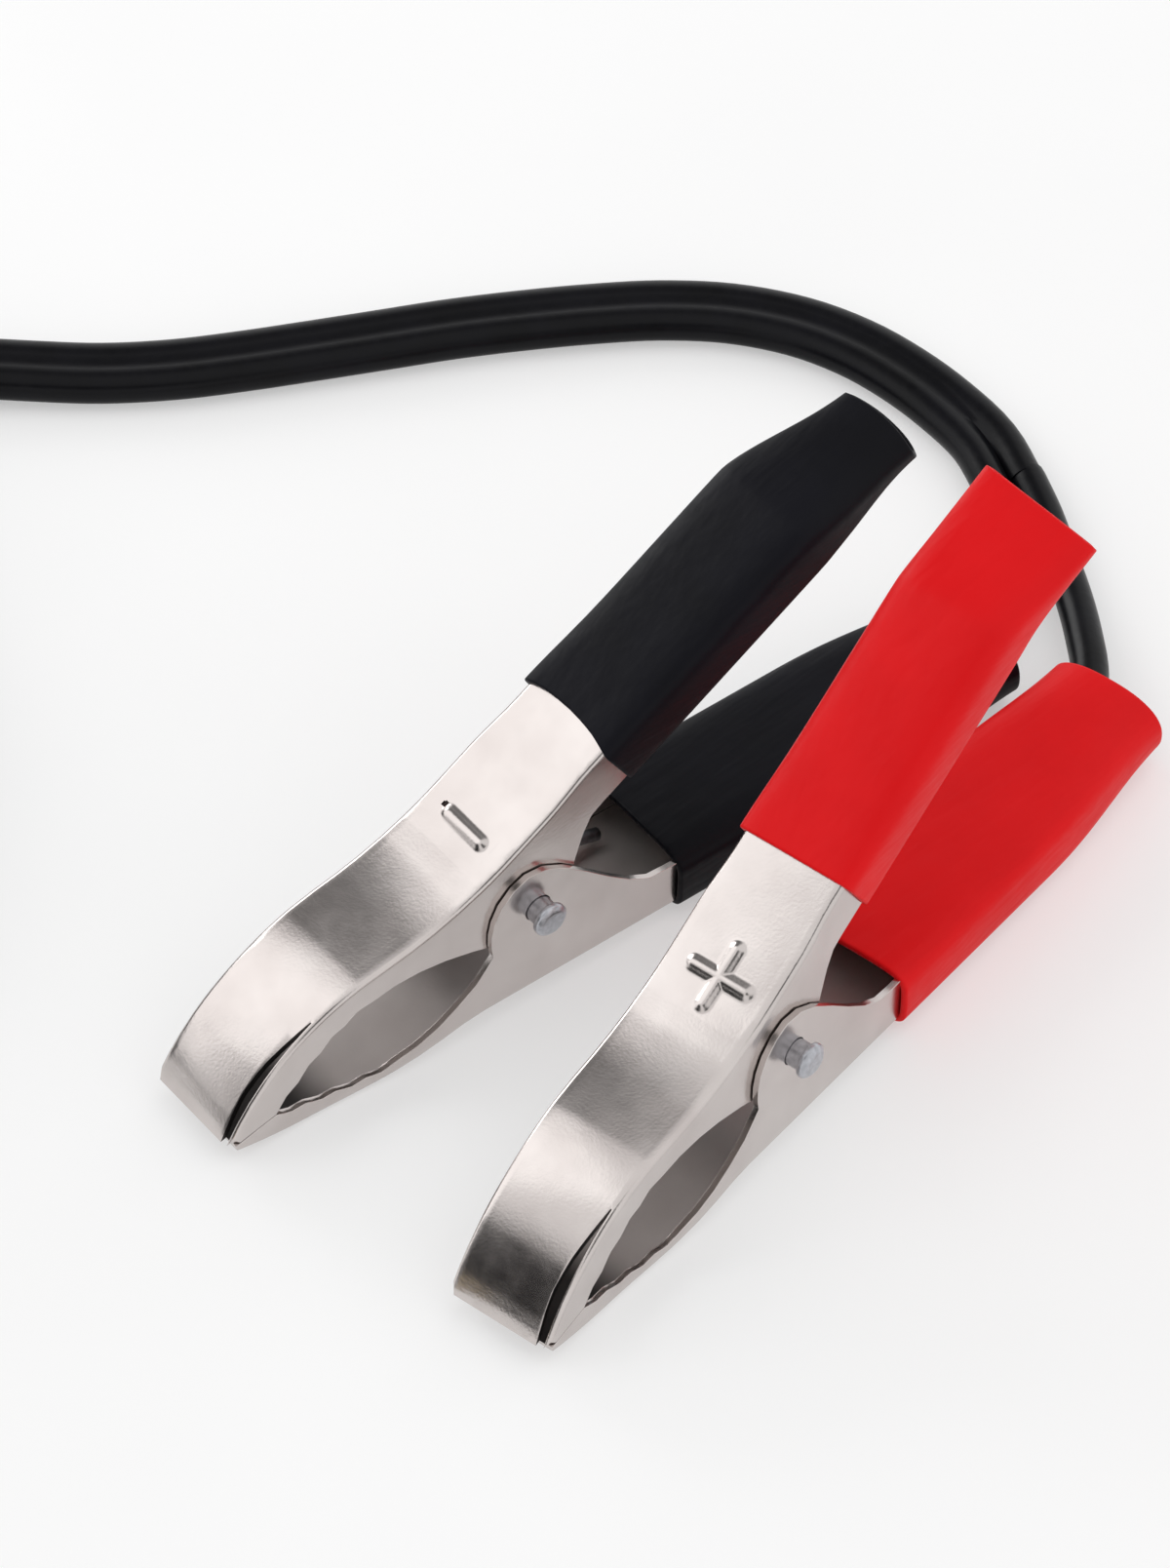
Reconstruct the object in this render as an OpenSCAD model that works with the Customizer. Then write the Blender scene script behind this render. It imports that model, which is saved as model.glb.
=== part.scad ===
// Battery clip lead: two sprung jaw clips, one red and one black, on the two
// legs of a twin cord. The cord is put away in a round coil with a tie, and
// ends in a two-pole quick connector. Millimetres, +Z up, +Y from the jaws'
// noses towards the handles, origin on the surface under the two clips.

/* [Jaws] */
// Outside width of an upper jaw at its nose and handle
jaw_w = 9.5; // [8.6:0.1:10.4]
// How much wider it is at the pivot
jaw_flare = 0.5; // [0:0.1:0.8]
// Thickness of the sheet steel
sheet = 0.55; // [0.5:0.05:1]
// Free space between the side walls of the two jaws, each side
side_gap = 0.1; // [0.08:0.02:0.2]
// Gap between the two jaws' lips when they are closed
lip_gap = 0.12; // [0.1:0.02:0.3]
// Height of each jaw's nose over the line where the jaws meet
nose_h = 0.8; // [0.7:0.05:1.2]
// Outside radius of the bends along each jaw's back
bend_r = 0.4; // [0.4:0.1:1.3]
// Length of the flat lips at the nose
lip_l = 4; // [3:0.5:5]
// Height of one tooth wave on the jaws' edges
tooth_h = 0.3; // [0.15:0.05:0.5]
// Length of one tooth wave
tooth_pitch = 2.6; // [2:0.1:3.2]
// Number of tooth waves on each edge
teeth = 4; // [2:1:5]
// Depth of the upper jaw's half of the eye
upper_eye = 4.6; // [3.5:0.1:5]
// Depth of the lower jaw's half of the eye
lower_eye = 3.5; // [2.5:0.1:4]
// Depth of the channel that forms each handle
handle_depth = 4.6; // [4:0.1:5.4]
// Length of an upper handle from where it runs straight
upper_handle_l = 32.3; // [28:0.1:34]
// Length of a lower handle from where it runs straight
lower_handle_l = 38; // [34:0.5:40]
// Greatest width of the slit between the upper jaw's back and its +X side wall
slit = 1; // [0.5:0.1:1.2]
// Length of that slit, from the nose
slit_l = 9.5; // [9:0.5:14]
// Bevel of the upper jaw's two corners at the nose
nose_bevel = 0.5; // [0.3:0.1:0.6]

/* [Marks] */
// Length of the two bars of the raised plus
plus_l = 6.2; // [4:0.1:6.4]
// Length of the bar of the raised minus
minus_l = 5.2; // [4:0.1:6.4]
// Width of those bars
mark_w = 1.3; // [1:0.1:1.8]
// Height of the marks over the jaw's back
mark_h = 0.4; // [0.2:0.05:0.5]
// Place of the plus along the jaw
plus_y = 29.2; // [29:0.1:32]
// Place of the minus along the jaw
minus_y = 28.5; // [27:0.1:32]
// Radius of the small hole at the far end of the minus
mark_hole_r = 0.3; // [0.2:0.05:0.4]

/* [Pivot] */
// Distance of the pivot from the nose
pivot_y = 29.8; // [28:0.1:31]
// Height of the pivot over the line where the jaws meet
pivot_z = 1.8; // [1.4:0.1:2.2]
// Radius of the pivot pin
pin_r = 1.15; // [0.9:0.05:1.3]
// Radial clearance of the pin in the jaws
pin_gap = 0.05; // [0.03:0.01:0.08]
// Radius of the pin's heads
head_r = 1.5; // [1.4:0.05:2]
// Thickness of the pin's heads
head_t = 0.8; // [0.6:0.1:1.2]
// Length of the pin that stands proud under its long head
pin_proud = 1.2; // [0.5:0.1:2.4]

/* [Spring] */
// Diameter of the spring wire
wire_d = 1.1; // [0.8:0.1:1.3]
// Radius of the spring's turns, to the middle of the wire
spring_r = 3; // [2.6:0.1:3.2]
// Distance from one turn to the next
spring_pitch = 1.6; // [1.55:0.05:1.75]
// Length of the leg under the upper handle
upper_leg_l = 13; // [10:0.5:15]
// Length of the leg over the lower handle
lower_leg_l = 14; // [10:0.5:16]

/* [Sleeves] */
// Wall of the soft sleeves
sleeve_wall = 0.6; // [0.5:0.05:0.9]
// Free space between a sleeve and the handle in it
sleeve_gap = 0.1; // [0.08:0.02:0.2]
// Length of an upper sleeve
upper_sleeve_l = 33.2; // [31:0.2:36]
// Length of a lower sleeve
lower_sleeve_l = 35.5; // [33:0.5:38]
// Place of an upper sleeve's front along its handle
upper_sleeve_s = 10.2; // [9:0.1:12]
// Place of a lower sleeve's front along its handle
lower_sleeve_s = 18.4; // [17:0.1:20]
// Height of an upper sleeve's flattened rear end
flat_h = 2.8; // [2.4:0.1:4]
// How far that flattened end hangs under the middle of the handle
flat_drop = 2.8; // [0:0.1:4]
// Width of the positive clip's flattened end
positive_flat_w = 11.4; // [9:0.1:12.4]
// Width of the negative clip's pinched end
negative_flat_w = 8.7; // [8:0.1:12.4]
// How much of their width the flattened ends are cut askew
flat_skew = 0.14; // [0:0.02:0.2]
// Height of a lower sleeve's oval rear end
oval_h = 6.3; // [6.2:0.1:7.6]
// How much narrower that oval end is than the sleeve
oval_draw = 1.9; // [0:0.1:2]

/* [Wire ends] */
// Radius of the bare copper strands
strand_r = 0.9; // [0.7:0.05:1.1]
// Outside radius of the ferrule crimped on them
ferrule_r = 1.6; // [1.2:0.05:1.6]
// Length of that ferrule
ferrule_l = 7; // [5:0.5:9]
// Place of the ferrule's front along the lower handle
ferrule_s = 24; // [22:0.5:26]

/* [Stance] */
// Tilt of the line where the jaws meet, nose down
tilt = 12.8; // [12:0.1:13.6]
// Turn of each clip, tails towards each other
toe_in = 6.95; // [6:0.05:7.4]
// Distance of each pivot from the middle plane
pivot_x = 12; // [11.9:0.1:14]
// Place of the positive clip's pivot from front to back
positive_y = -9; // [-12:0.1:-6]
// Place of the negative clip's pivot from front to back
negative_y = -11.3; // [-14:0.1:-8]

/* [Cord] */
// Diameter of each leg of the twin cord
core_d = 3.1; // [2.8:0.1:3.4]
// How far the two legs run into each other where they are joined
core_lap = 0.2; // [0:0.1:0.4]

/* [Coil] */
// Place of the coil's middle across
coil_x = -93; // [-100:1:-90]
// Place of the coil's middle from front to back
coil_y = -57; // [-64:1:-54]
// Outer radius of the coil, to the middle of the cord
coil_r = 39; // [37:0.5:42]
// Radial distance from one turn to the next
coil_pitch = 4.6; // [4.6:0.1:5]
// Free space between the two layers
layer_gap = 0.6; // [0.5:0.1:1]
// Width of the tie round the coil
tie_w = 9; // [6:0.5:12]
// Thickness of the tie
tie_t = 0.7; // [0.5:0.1:1]
// Free space between the tie and the cord
tie_gap = 0.2; // [0.1:0.05:0.4]

/* [Connector] */
// Distance between the connector's two poles
pole_pitch = 7; // [6.9:0.1:8]
// Radius of the bare pin
contact_r = 2; // [1.8:0.05:2.2]
// Radial clearance of a pin in the socket
contact_gap = 0.05; // [0.03:0.01:0.1]
// Length of the bare pin and of the socket
contact_l = 10; // [8:0.5:12]
// Wall of the socket's metal tube
socket_wall = 0.4; // [0.3:0.05:0.5]
// Wall of the shroud round the socket
shroud_wall = 0.9; // [0.7:0.05:1]
// Length of the connector's moulded body
body_l = 20; // [16:0.5:24]
// Thickness of the connector's moulded body
body_h = 8; // [7.4:0.1:9]
// Length of the strain relief
relief_l = 16; // [12:1:20]
// Number of grooves round the strain relief
relief_grooves = 4; // [2:1:6]

/* [Hidden] */
$fn = 48;
POLES = ["positive", "negative"];

red = "#d3191f";
black = "#1d1d22";
nickel = "#c9c5bf";

// The crown is the jaws' arched front part, and the waist the low place behind it
upper_crown_r = 20.5;
upper_waist_l = 1.2;
upper_waist_r = 31;
upper_slope = 18.5;
lower_crown_r = 39;
lower_waist_l = 3.5;
lower_waist_r = 16;
lower_slope = 14;
// A jaw's back, seen from the side: height at the nose, slope at the nose,
// radius of the crown, slope at the waist, length of the waist, radius of the
// bend behind it and slope of the handle
upper_back = [nose_h, 47, upper_crown_r, -4, upper_waist_l, upper_waist_r, upper_slope];
lower_back = [nose_h, 27, lower_crown_r, 2, lower_waist_l, lower_waist_r, lower_slope];

// Width of a lower jaw where it holds the upper one between its ears
ear_w = jaw_w + jaw_flare + 2*(side_gap + sheet);

// A jaw's edge: depth of the eye, start of the ear, radius of the ear round
// the pivot, end of the ear's slope and the pivot's height on this side
upper_ear_r = 3.8;
lower_ear_r = 4.2;
eye_end = 26;
upper_edge = [upper_eye, eye_end, upper_ear_r, 38, pivot_z];
lower_edge = [lower_eye, 24.9, lower_ear_r, 41.2, -pivot_z];

// Where the back's straight handle starts: [distance, height]
function waist_start(b) = [b[2]*(sin(b[1]) - sin(b[3])), b[0] + b[2]*(cos(b[3]) - cos(b[1]))];
function waist_end(b) = waist_start(b) + b[4]*[cos(b[3]), sin(b[3])];
function handle_start(b) = waist_end(b) + b[5]*[sin(b[6]) - sin(b[3]), cos(b[3]) - cos(b[6])];

// Height and slope of a back at the distance y from the nose
function back(b, y) =
    let (s = waist_start(b), e = waist_end(b), h = handle_start(b))
    y < s[0] ? let (a = asin(sin(b[1]) - y/b[2])) [b[0] + b[2]*(cos(a) - cos(b[1])), a] :
    y < e[0] ? [s[1] + (y - s[0])*tan(b[3]), b[3]] :
    y < h[0] ? let (a = asin(sin(b[3]) + (y - e[0])/b[5])) [e[1] + b[5]*(cos(b[3]) - cos(a)), a] :
    [h[1] + (y - h[0])*tan(b[6]), b[6]];

function ease(t) = t <= 0 ? 0 : t >= 1 ? 1 : (1 - cos(180*t))/2;
function mix(a, b, t) = a + (b - a)*t;

// Height of a jaw's free edge at the distance y from the nose
function wave(y) =
    y > lip_l && y < lip_l + teeth*tooth_pitch ? tooth_h*(1 - cos(360*(y - lip_l)/tooth_pitch))/2 : 0;
function eye_edge(e, y) =
    y < lip_l || y > eye_end ? lip_gap/2 : lip_gap/2 + e[0]*sin(180*(y - lip_l)/(eye_end - lip_l)) + wave(y);
function ear_edge(e, y) = (e[4] - e[2])*sqrt(1 - pow((pivot_y - y)/(pivot_y - e[1]), 2));
function handle_edge(b, y) = back(b, y)[0] - handle_depth/cos(b[6]);
function edge(b, e, y) =
    y < e[1] ? eye_edge(e, y) :
    y < pivot_y ? min(eye_edge(e, y), ear_edge(e, y)) :
    mix(e[4] - e[2], handle_edge(b, max(y, e[3])), ease((y - pivot_y)/(e[3] - pivot_y)));

// Both jaws flare from the nose to the ears, and the upper one narrows again behind them
function lower_w(y) = mix(jaw_w, ear_w, ease((y - 6)/13));
function upper_w(y) = jaw_w + jaw_flare*(ease((y - 6)/13) - ease((y - 33.2)/4.8));

// The bends are tight at the nose and reach their full radius behind the slit
nose_bend = 0.3;
function bend(y) = mix(nose_bend, bend_r, min(y/slit_l, 1));
// One cross-section of a jaw: a channel with round bends, open at the bottom
corner = 1 - cos(45);
function channel(w, top, in, low, r) =
    let (ro = min(r, 0.8*(top - low)), ri = min(max(r - sheet, 0.1), 0.5*(in - low)), h = w/2, k = h - sheet)
    [[-h, low], [-h, top - ro], [-h + ro*corner, top - ro*corner], [-h + ro, top],
     [h - ro, top], [h - ro*corner, top - ro*corner], [h, top - ro], [h, low],
     [k, low], [k, in - ri], [k - ri*corner, in - ri*corner], [k - ri, in],
     [-k + ri, in], [-k + ri*corner, in - ri*corner], [-k, in - ri], [-k, low]];
function jaw_ring(b, e, w, y) =
    let (top = back(b, y), low = edge(b, e, y))
    [for (p = channel(w, top[0], max(top[0] - sheet/cos(top[1]), low + 0.06), low, bend(y))) [-p[0], y, p[1]]];

// Distances from the nose at which a jaw's cross-section is worked out
tooth_step = tooth_pitch/4;
tooth_end = lip_l + teeth*tooth_pitch;
function jaw_stations(b, e, l) =
    let (end = handle_start(b)[0] + l*cos(b[6]))
    concat(
        [0, 0.5, 1.2, 2.4, lip_l],
        [for (i = [1:4*teeth]) lip_l + i*tooth_step],
        [for (i = [1:5]) mix(tooth_end, e[1], i/5)],
        [for (t = [0.02, 0.08, 0.2, 0.4, 0.7, 1]) mix(e[1], pivot_y, t)],
        [for (i = [1:7]) mix(pivot_y, e[3], i/7)],
        [end]);

// A closed skin over rings of one length each, its ends closed by cap faces
module skin(rings, first_cap, last_cap) {
    n = len(rings[0]);
    last = n*(len(rings) - 1);
    sides = [for (i = [0:len(rings) - 2], j = [0:n - 1])
        let (a = n*i + j, b = n*i + (j + 1)%n) each [[a, b, a + n], [b, b + n, a + n]]];
    polyhedron([for (r = rings) each r],
        concat(sides, first_cap, [for (f = last_cap) [for (k = f) k + last]]), convexity = 10);
}
// Caps of a channel: strips between its outer and inner outline
channel_first = [for (i = [0:6]) each [[i, 14 - i, i + 1], [i, 15 - i, 14 - i]]];
channel_last = [for (i = [0:6]) each [[i, i + 1, 14 - i], [i, 14 - i, 15 - i]]];
// Caps of a convex outline of n points: a fan
function fan_first(n) = [for (i = [1:n - 2]) [0, i + 1, i]];
function fan_last(n) = [for (i = [1:n - 2]) [0, i, i + 1]];

module upper_shell() {
    skin([for (y = jaw_stations(upper_back, upper_edge, upper_handle_l))
        jaw_ring(upper_back, upper_edge, upper_w(y), y)], channel_first, channel_last);
}
module lower_shell() {
    skin([for (y = jaw_stations(lower_back, lower_edge, lower_handle_l))
        jaw_ring(lower_back, lower_edge, lower_w(y), y)], channel_first, channel_last);
}

// The frame of one clip, as it stands: nose at the origin, jaws along +Y
function clip_x(p) = p == "positive" ? pivot_x : -pivot_x;
function clip_y(p) = p == "positive" ? positive_y : negative_y;
function clip_turn(p) = p == "positive" ? toe_in : -toe_in;
// Height of a point of the side view over the nose, once tilted
function rise(y, z) = y*sin(tilt) + z*cos(tilt);
// A point's place behind the nose, once tilted
function reach(y, z) = y*cos(tilt) - z*sin(tilt);
// The lower clip half stands on its belly and on its sleeve's rear end
sleeve_out = sleeve_gap + sleeve_wall;
lower_handle = handle_start(lower_back);
function on_lower(s, n) = lower_handle + s*[cos(lower_slope), sin(lower_slope)] + n*[-sin(lower_slope), cos(lower_slope)];
sleeve_heel = on_lower(lower_sleeve_s + lower_sleeve_l, sleeve_out);
belly = min([for (y = [0:0.5:waist_end(lower_back)[0]]) rise(y, -back(lower_back, y)[0])]);
nose_z = -min(belly, rise(sleeve_heel[0], -sleeve_heel[1]));
module in_clip(p) {
    translate([clip_x(p), clip_y(p), 0])
        rotate([0, 0, clip_turn(p)])
            translate([0, -reach(pivot_y, pivot_z), nose_z])
                rotate([tilt, 0, 0])
                    children();
}
// The frame of a handle: its back in the plane z = 0, +Z outwards
module on_handle(b) {
    translate([0, handle_start(b)[0], handle_start(b)[1]])
        rotate([b[6], 0, 0])
            children();
}
// Lower pieces are drawn with their back upwards, then turned over
module turned_over() {
    mirror([0, 0, 1])
        children();
}
module across(x0, x1) {
    translate([x0, 0, 0])
        rotate([0, 90, 0])
            linear_extrude(x1 - x0)
                children();
}
module pivot_bore() {
    translate([-ear_w, pivot_y, pivot_z])
        rotate([0, 90, 0])
            cylinder(h = 2*ear_w, r = pin_r + pin_gap);
}

// Raised bar with bevelled ends, along x; the positive mark has a second one
function mark_place(p) = ((p == "positive" ? plus_y : minus_y) - handle_start(upper_back)[0])/cos(upper_slope);
function mark_l(p) = p == "positive" ? plus_l : minus_l;
function bar_outline(l, w) = let (b = 0.3*w)
    [[l/2 - b, -w/2], [l/2, -w/2 + b], [l/2, w/2 - b], [l/2 - b, w/2],
     [-l/2 + b, w/2], [-l/2, w/2 - b], [-l/2, -w/2 + b], [-l/2 + b, -w/2]];
module mark(p) {
    translate([0, mark_place(p), -sheet/2])
        linear_extrude(mark_h + sheet/2) {
            polygon(bar_outline(mark_l(p), mark_w));
            if (p == "positive")
                rotate([0, 0, 90])
                    polygon(bar_outline(mark_l(p), mark_w));
        }
}
module mark_hole() {
    translate([-minus_l/2 - 0.2, mark_place("negative") + 0.3, -2*sheet])
        cylinder(h = 4*sheet, r = mark_hole_r, $fn = 16);
}
// The slit beside the +X side wall, seen from above: widest near the nose and
// closed at its far end. It takes a little of the wall, which stands on.
slit_shape = [[-0.1, 0.5], [0.15, 0.9], [0.3, 1], [0.54, 0.8], [0.77, 0.45], [1, 0.13]];
wall_cut = 0.1;
module slit_cut() {
    outer = jaw_w/2 - sheet + wall_cut;
    web = [for (f = slit_shape) [outer - slit*f[1], slit_l*f[0]]];
    wall = [outer, slit_l*slit_shape[5][0]];
    front = [outer, slit_l*slit_shape[0][0]];
    translate([0, 0, -1])
        linear_extrude(12)
            polygon(concat(web, [wall, front]));
}
module nose_corner(side) {
    edge = side*jaw_w/2;
    translate([0, 0, -1])
        linear_extrude(4)
            polygon([[edge - side*nose_bevel, 0], [edge - side*nose_bevel, -1], [edge + side, -1],
                [edge + side, nose_bevel], [edge, nose_bevel]]);
}
module upper_jaw(p) {
    color(nickel)
        in_clip(p)
            difference() {
                union() {
                    upper_shell();
                    on_handle(upper_back)
                        mark(p);
                }
                slit_cut();
                for (side = [-1, 1])
                    nose_corner(side);
                if (p == "negative")
                    on_handle(upper_back)
                        mark_hole();
                pivot_bore();
            }
}
module lower_jaw(p) {
    color(nickel)
        in_clip(p)
            difference() {
                turned_over()
                    lower_shell();
                pivot_bore();
            }
}

// The pivot pin: its long head stands proud on the +X side, the flat one is on -X
module rivet(p) {
    long = ear_w/2 + pin_proud;
    flat = -ear_w/2 - 0.1;
    color("#b9b9b9")
        in_clip(p)
            translate([0, pivot_y, pivot_z])
                rotate([0, 90, 0])
                    rotate_extrude()
                        polygon([
                            [0, flat - 0.6*head_t], [head_r, flat - 0.6*head_t], [head_r + 0.15, flat],
                            [pin_r, flat], [pin_r, long], [head_r, long], [head_r, long + 0.6*head_t],
                            [0.7*head_r, long + head_t], [0, long + head_t]]);
}

// The spring's wire: lower leg, turns round the pin, upper leg
full_turns = 3;
upper_leg_slope = 28;
lower_leg_slope = -32;
turn_from = 270 + lower_leg_slope;
turn_to = 90 + upper_leg_slope - full_turns*360;
turn_count = (turn_from - turn_to)/360;
turn_rings = 8;
spring_half = spring_pitch*turn_count/2;
function spring_turn(a) =
    let (x = mix(-spring_half, spring_half, (turn_from - a)/(turn_from - turn_to)))
    [x, pivot_y + spring_r*cos(a), pivot_z + spring_r*sin(a)];
function spring_leg(a, slope, l) = spring_turn(a) + l*[0, cos(slope), sin(slope)];
spring_steps = ceil(turn_count*turn_rings);
spring_path = concat(
    [for (f = [1, 0.5]) spring_leg(turn_from, lower_leg_slope, f*lower_leg_l)],
    [for (i = [0:spring_steps]) spring_turn(mix(turn_from, turn_to, i/spring_steps))],
    [for (f = [0.5, 1]) spring_leg(turn_to, upper_leg_slope, f*upper_leg_l)]);

// Unit tangent of a path at its point i
function unit(v) = v/norm(v);
function tangent(path, i) =
    i == 0 ? unit(path[1] - path[0]) :
    i == len(path) - 1 ? unit(path[i] - path[i - 1]) :
    unit(unit(path[i + 1] - path[i]) + unit(path[i] - path[i - 1]));
// A ring of a round or flat tube at point i: the section's points lie across
// the side direction and the direction square to it and to the path
function tube_ring(path, i, section, side) =
    let (t = tangent(path, i), s = unit(side - (side*t)*t), u = cross(s, t))
    [for (p = section) path[i] + p[0]*s + p[1]*u];
function round_section(d, n) = [for (k = [0:n - 1]) let (a = 360*(k + 0.5)/n) d/2*[cos(a), sin(a)]];
// Least distance between two points of a path that lie further apart along it
function self_gap(path, skip, d) =
    min([for (i = [0:len(path) - 1 - skip]) min([for (j = [i + skip:len(path) - 1]) norm(path[i] - path[j])])]) - d;

module spring(p) {
    section = round_section(wire_d, 6);
    rings = [for (i = [0:len(spring_path) - 1]) tube_ring(spring_path, i, section, [1, 0, 0])];
    color("#8f9196")
        in_clip(p)
            skin(rings, fan_first(6), fan_last(6));
}
echo(spring_gap = self_gap(spring_path, turn_rings - 1, wire_d));

// A sleeve's outline: 4 points round each corner, with one radius for the two
// corners along the handle's back and one for the two along its free edges
sleeve_sides = 16;
function sleeve_outline(w, h, back_r, edge_r) =
    [for (c = [0:3], k = [0:3])
        let (a = 90*c + 30*k, sx = (c == 0 || c == 3) ? 1 : -1, sy = c < 2 ? 1 : -1,
            q = min(c < 2 ? back_r : edge_r, w/2 - 0.05, h/2 - 0.05))
        [sx*(w/2 - q) + q*cos(a), sy*(h/2 - q) + q*sin(a)]];
// One station of a sleeve: [place, width, height, middle, radius at the back,
// radius at the edges, slope of its cut across the sleeve]
function sleeve_ring(st, inset) =
    [for (p = sleeve_outline(st[1] - 2*inset, st[2] - 2*inset, max(st[4] - inset, 0.2), max(st[5] - inset, 0.2)))
        [-p[0], st[0] + st[6]*p[0], st[3] + p[1]]];
module sleeve_shell(stations) {
    n = sleeve_sides;
    m = len(stations);
    points = concat(
        [for (st = stations) each sleeve_ring(st, 0)],
        [for (st = stations) each sleeve_ring(st, sleeve_wall)]);
    far = n*m;
    end = n*(m - 1);
    walls = [for (i = [0:m - 2], j = [0:n - 1])
        let (a = n*i + j, b = n*i + (j + 1)%n)
        each [[a, a + n, b], [b, a + n, b + n], [far + a, far + b, far + a + n], [far + b, far + b + n, far + a + n]]];
    rims = [for (j = [0:n - 1])
        let (b = (j + 1)%n)
        each [[j, b, far + j], [b, far + b, far + j],
              [end + j, far + end + j, end + b], [end + b, far + end + j, far + end + b]]];
    polyhedron(points, concat(walls, rims), convexity = 10);
}
sleeve_h = handle_depth + 2*sleeve_out;
sleeve_mid = -handle_depth/2;
function sleeve_w(w) = w + 2*sleeve_out;
// The sheet's free edges are square, so a sleeve's corner over them is tight
edge_r = sleeve_wall + 0.3;
module upper_sleeve(p) {
    w = sleeve_w(jaw_w);
    s = upper_sleeve_s;
    end = s + upper_sleeve_l;
    flat_w = p == "positive" ? positive_flat_w : negative_flat_w;
    color(p == "positive" ? red : black)
        in_clip(p)
            on_handle(upper_back)
                sleeve_shell([
                    [s, w, sleeve_h, sleeve_mid, bend_r + sleeve_out, edge_r, 0],
                    [upper_handle_l + 0.6, w, sleeve_h, sleeve_mid, bend_r + sleeve_out, edge_r, 0],
                    [mix(upper_handle_l, end, 0.35), mix(w, flat_w, 0.35), mix(sleeve_h, flat_h, 0.5),
                        sleeve_mid - 0.35*flat_drop, 2, 1.6, 0.3*flat_skew],
                    [mix(upper_handle_l, end, 0.7), mix(w, flat_w, 0.8), mix(sleeve_h, flat_h, 0.85),
                        sleeve_mid - 0.72*flat_drop, 1.7, 1.6, 0.7*flat_skew],
                    [end, flat_w, flat_h, sleeve_mid - flat_drop, 1.4, 1.4, flat_skew]]);
}
module lower_sleeve(p) {
    w = sleeve_w(ear_w);
    s = lower_sleeve_s;
    end = s + lower_sleeve_l;
    oval_mid = sleeve_out - oval_h/2;
    color(p == "positive" ? red : black)
        in_clip(p)
            turned_over()
                on_handle(lower_back)
                    sleeve_shell([
                        [s, w, sleeve_h, sleeve_mid, bend_r + sleeve_out, edge_r, 0],
                        [lower_handle_l + 0.6, w, sleeve_h, sleeve_mid, bend_r + sleeve_out, edge_r, 0],
                        [mix(lower_handle_l, end, 0.5), w - 0.4*oval_draw, mix(sleeve_h, oval_h, 0.6),
                            mix(sleeve_mid, oval_mid, 0.6), 2.7, 2.4, 0],
                        [end, w - oval_draw, oval_h, oval_mid, oval_h/2 - 0.2, oval_h/2 - 0.1, 0]]);
}

// Bare strands and the ferrule that joins them to the lower handle
wire_mid = -sheet - ferrule_r - 0.1;
strand_tip = 2.5;
jacket_s = 36;
jacket_lap = 1;
module wire_end(p) {
    color("#c98f5a")
        in_clip(p)
            turned_over()
                on_handle(lower_back)
                    translate([0, ferrule_s - strand_tip, wire_mid])
                        rotate([-90, 0, 0])
                            cylinder(h = jacket_s + jacket_lap - ferrule_s + strand_tip, r = strand_r);
}
module ferrule(p) {
    color("#d6d2c8")
        in_clip(p)
            turned_over()
                on_handle(lower_back)
                    translate([0, ferrule_s, wire_mid])
                        rotate([-90, 0, 0])
                            difference() {
                                cylinder(h = ferrule_l, r = ferrule_r);
                                translate([0, 0, -1])
                                    cylinder(h = ferrule_l + 2, r = strand_r + 0.02);
                            }
}

// The cord. Each leg runs from its ferrule, out of the sleeve's rear mouth and
// over the surface to where the two legs join.
positive_leg_route = [
    [8.2, 22, 3.3], [7.5, 27.9, 3.2], [6.5, 33.7, 3.1], [4.9, 38.3, 2.9], [2.4, 41.6, 2.6],
    [-0.8, 44.4, 2.2], [-4.2, 47, 1.8], [-8, 49.5, 1.6], [-12.6, 52.4, 1.6], [-16.2, 54.3, 1.6]
];
negative_leg_route = [
    [-8.2, 19.7, 3.3], [-7.5, 25.6, 3.2], [-6.8, 31.6, 3.1], [-6.5, 36.6, 2.9], [-7.3, 41, 2.4],
    [-9.8, 45.6, 1.8], [-14.2, 49.5, 1.6], [-17.8, 51.5, 1.6]
];
twin_route = [
    [-17, 52.9, 1.6], [-21.8, 55, 1.6], [-27, 55.8, 1.6], [-32, 55.9, 1.6], [-37, 55.3, 1.6],
    [-42, 53.7, 1.6], [-47, 50.8, 1.6], [-51.4, 46.9, 1.6], [-55.1, 42.6, 1.6], [-58.7, 37.9, 1.6],
    [-62.1, 33.1, 1.6], [-65.3, 28.1, 1.6], [-68.5, 23.1, 1.6], [-71.7, 18.2, 1.6], [-75.1, 13.4, 1.6],
    [-79, 8.9, 1.6], [-83.2, 4.8, 1.8], [-90, -1.6, 2.3], [-98, -8.9, 3], [-107, -17, 3.5],
    [-115.8, -24.8, 3.9]
];
tail_route = [
    [-87, -96, 10.5], [-82, -96, 10.2], [-76, -96, 9], [-70, -96, 7.3], [-64, -96, 5.5],
    [-58, -96, 4.3], [-54, -96, 4]
];
twin_w = 2*core_d - core_lap;
flat_on_side = 0;
flat_on_edge = 90;
function flat_section(w, h, n) =
    [for (k = [0:n - 1]) let (a = 360*(k + 0.5)/n, c = cos(a), s = sin(a)) [w/2*c/cos(180/n), h/2*s/cos(180/n)]];
function level_side(t) = unit(cross(t, [0, 0, 1]));
function flat_ring(path, i, section, turn) =
    let (t = tangent(path, i), s = level_side(t), u = cross(s, t))
    tube_ring(path, i, section, cos(turn)*s + sin(turn)*u);
module round_cord(route) {
    section = round_section(core_d, 8);
    skin([for (i = [0:len(route) - 1]) tube_ring(route, i, section, level_side(tangent(route, i)))],
        fan_first(8), fan_last(8));
}
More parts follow.
